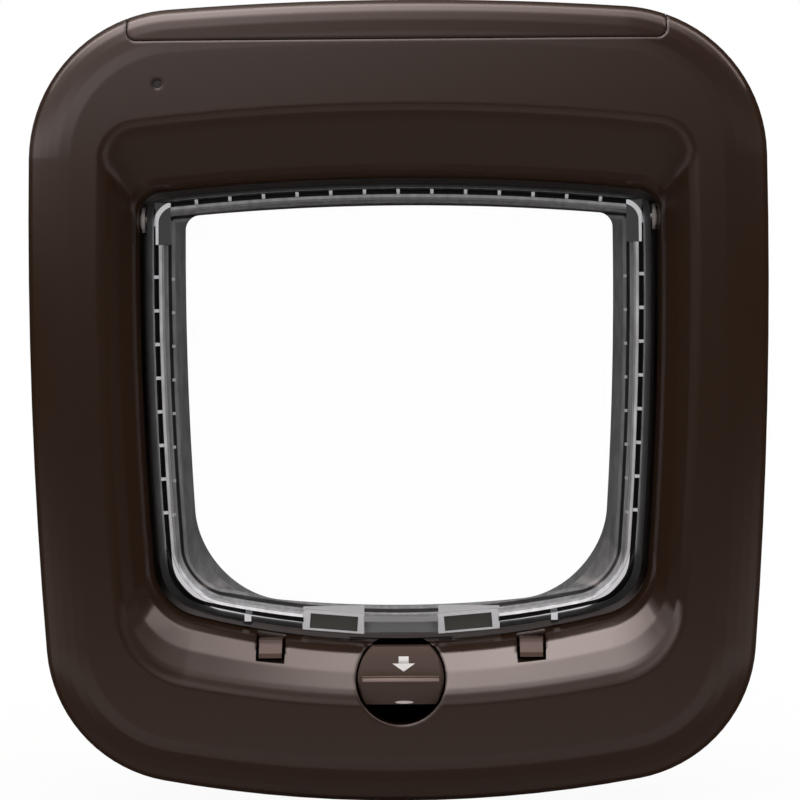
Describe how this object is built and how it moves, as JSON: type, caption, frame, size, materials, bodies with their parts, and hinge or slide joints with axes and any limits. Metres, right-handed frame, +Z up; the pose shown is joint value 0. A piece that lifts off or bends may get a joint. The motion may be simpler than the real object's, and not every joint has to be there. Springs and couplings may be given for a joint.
{
  "type": "cat flap",
  "caption": "Electronic cat flap: bulged housing with a funnelled opening, clear dished two-way flap with brush seals, four-way lock knob, latch tabs and tunnel.",
  "frame": {"origin": "centre of the passage on the door's room-side surface, where the housing's back rests", "axes": "+X to the right seen from the room, +Y into the door, +Z up; the room side is at negative Y"},
  "size_m": [0.222, 0.092, 0.2404],
  "materials": {
    "housing_plastic": "satin moulded, fine grain",
    "clear_plastic": "clear moulded",
    "lens_plastic": "translucent",
    "knob_plastic": "satin moulded",
    "inner_plastic": "moulded",
    "bush_plastic": "self-lubricating",
    "black_pile": "short dense pile",
    "magnet": "ground ferrite",
    "steel": "zinc plated",
    "cell_jacket": "shrink sleeve",
    "board_laminate": "solder mask",
    "copper": "enamelled wire"
  },
  "bodies": {
    "housing": {"front_frame": "housing_plastic", "back_plate": "housing_plastic", "outer_frame": "housing_plastic", "housing_screws": "steel", "fixing_screws": "steel", "screw_caps": "housing_plastic", "pivot_bush_left": "bush_plastic", "pivot_bush_right": "bush_plastic", "latch_solenoid": "steel", "sill_magnet_left": "magnet", "sill_magnet_right": "magnet", "battery_tray": "inner_plastic", "cell_lower_left": "cell_jacket", "cell_upper_left": "cell_jacket", "cell_lower_right": "cell_jacket", "cell_upper_right": "cell_jacket", "battery_contacts": "steel", "circuit_board": "board_laminate", "status_led": "lens_plastic", "antenna_coil": "copper"},
    "flap": {"flap": "clear_plastic", "flap_magnet_left": "magnet", "flap_magnet_right": "magnet", "hinge_pin_left": "steel", "hinge_pin_right": "steel", "brush_top": "black_pile", "brush_left": "black_pile", "brush_right": "black_pile"},
    "lock": {"lock_knob": "knob_plastic", "lock_spindle": "inner_plastic", "inward_cam": "inner_plastic", "outward_cam": "inner_plastic"},
    "latch": {"latch_slide": "knob_plastic", "solenoid_plunger": "steel"},
    "cover": {"battery_cover": "housing_plastic"},
    "learn": {"learn_button": "inner_plastic"}
  },
  "joints": [
    {"name": "flap_swing", "type": "hinge", "parent": "housing", "child": "flap", "pos_m": [0, -0.016, 0.055], "axis": [1, 0, 0], "range_deg": [-85, 85]},
    {"name": "lock_turn", "type": "hinge", "parent": "housing", "child": "lock", "pos_m": [0, -0.016, -0.0836], "axis": [0, 1, 0], "range_deg": [0, 270]},
    {"name": "latch_lift", "type": "slide", "parent": "housing", "child": "latch", "axis": [0, 0, 1], "range_m": [0, 0.005]},
    {"name": "battery_cover_lift", "type": "slide", "parent": "housing", "child": "cover", "axis": [0, 0, 1], "range_m": [0, 0.03]},
    {"name": "learn_press", "type": "slide", "parent": "housing", "child": "learn", "axis": [0, 0, -1], "range_m": [0, 0.001], "stiffness_N_per_m": 300}
  ]
}
